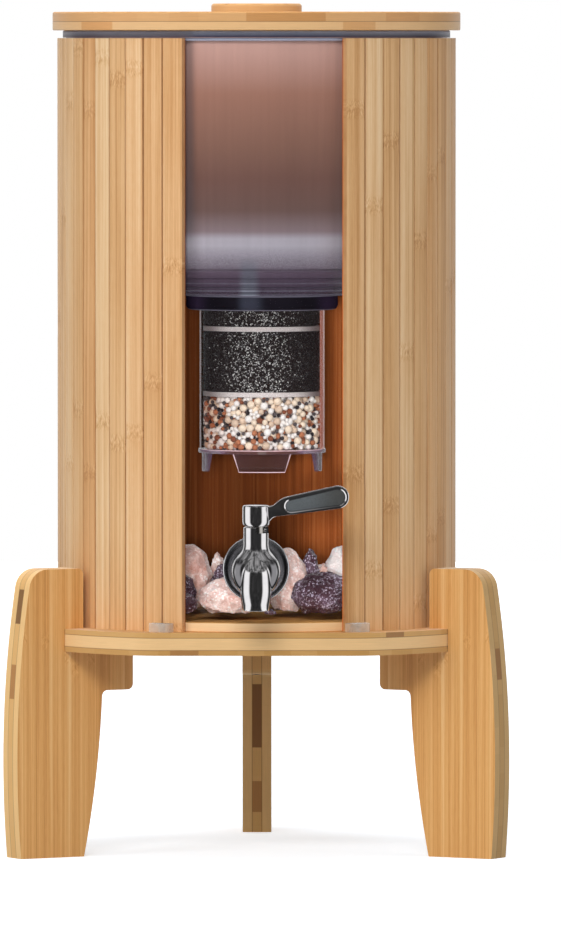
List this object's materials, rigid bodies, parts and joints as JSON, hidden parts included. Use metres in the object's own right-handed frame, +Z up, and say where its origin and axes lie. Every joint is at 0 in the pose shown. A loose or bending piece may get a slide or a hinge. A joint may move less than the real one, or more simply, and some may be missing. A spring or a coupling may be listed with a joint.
{
  "type": "gravity water filter with tap",
  "caption": "Gravity water filter with nested clear tanks, a hanging cartridge, a bamboo slat mat with a front window, a lever tap and a legged bamboo stand.",
  "frame": {"origin": "where the tank's upright axis meets the floor, which is the centre of the bounding box's underside", "axes": "+Z up, the tap and the window face -Y, the lever points to +X when closed"},
  "size_m": [0.3658, 0.41, 0.617],
  "materials": {
    "bamboo_board": "satin oiled bamboo plywood",
    "bamboo_slat": "satin bamboo strip",
    "mat_backing": "woven backing",
    "clear_plastic": "clear gloss",
    "frosted_plastic": "smoky frosted",
    "violet_plastic": "dark violet gloss",
    "silicone": "translucent silicone",
    "black_rubber": "matte",
    "felt": "felt",
    "carbon": "granular, sparkling",
    "ceramic_balls": "matte ceramic",
    "polished_steel": "mirror polished",
    "screw_steel": "satin",
    "plug_brass": "turned",
    "grip_plastic": "matte",
    "rose_quartz": "cloudy tumbled quartz",
    "amethyst": "rough amethyst",
    "white_quartz": "milky quartz"
  },
  "bodies": {
    "stand": {"base_plate": "bamboo_board", "leg_left": "bamboo_board", "leg_right": "bamboo_board", "leg_rear": "bamboo_board", "leg_screws": "screw_steel", "tank_base_disc": "bamboo_board", "mat_backing": "mat_backing", "bamboo_slats": "bamboo_slat", "mat_stop_left": "clear_plastic", "mat_stop_right": "clear_plastic", "mat_stop_screws": "screw_steel", "lower_tank": "clear_plastic", "tap_body": "polished_steel", "tap_rosette": "polished_steel", "tap_outer_washer": "silicone", "tap_inner_washer": "silicone", "tap_nut": "polished_steel", "rose_quartz": "rose_quartz", "amethyst": "amethyst", "white_quartz": "white_quartz"},
    "upper_tank": {"upper_tank": "frosted_plastic", "cartridge_cap": "violet_plastic", "cartridge_gasket": "silicone", "cartridge_nut_washer": "silicone", "cartridge_housing": "clear_plastic", "upper_felt_disc": "felt", "lower_felt_disc": "felt", "upper_carbon_bed": "carbon", "lower_carbon_bed": "carbon", "ceramic_ball_bed": "ceramic_balls", "cartridge_base": "clear_plastic"},
    "lid": {"lid_board": "bamboo_board", "lid_locating_disc": "bamboo_board", "lid_knob": "bamboo_board", "lid_knob_screw": "screw_steel"},
    "cartridge_nut": {"cartridge_nut": "violet_plastic"},
    "tap_lever": {"tap_lever": "polished_steel", "tap_lever_insert": "grip_plastic", "tap_plug": "plug_brass", "tap_plug_seals": "black_rubber", "tap_stop_pin": "screw_steel"}
  },
  "joints": [
    {"name": "lever_turn", "type": "hinge", "parent": "stand", "child": "tap_lever", "pos_m": [0, -0.1876, 0.2113], "axis": [0, 0, 1], "range_deg": [-90, 0]},
    {"name": "tank_lift", "type": "slide", "parent": "stand", "child": "upper_tank", "axis": [0, 0, 1], "range_m": [0, 0.32]},
    {"name": "lid_lift", "type": "slide", "parent": "upper_tank", "child": "lid", "axis": [0, 0, 1], "range_m": [0, 0.06]},
    {"name": "nut_turn", "type": "hinge", "parent": "upper_tank", "child": "cartridge_nut", "pos_m": [0.004, 0, 0.412], "axis": [0, 0, 1], "continuous": true}
  ]
}
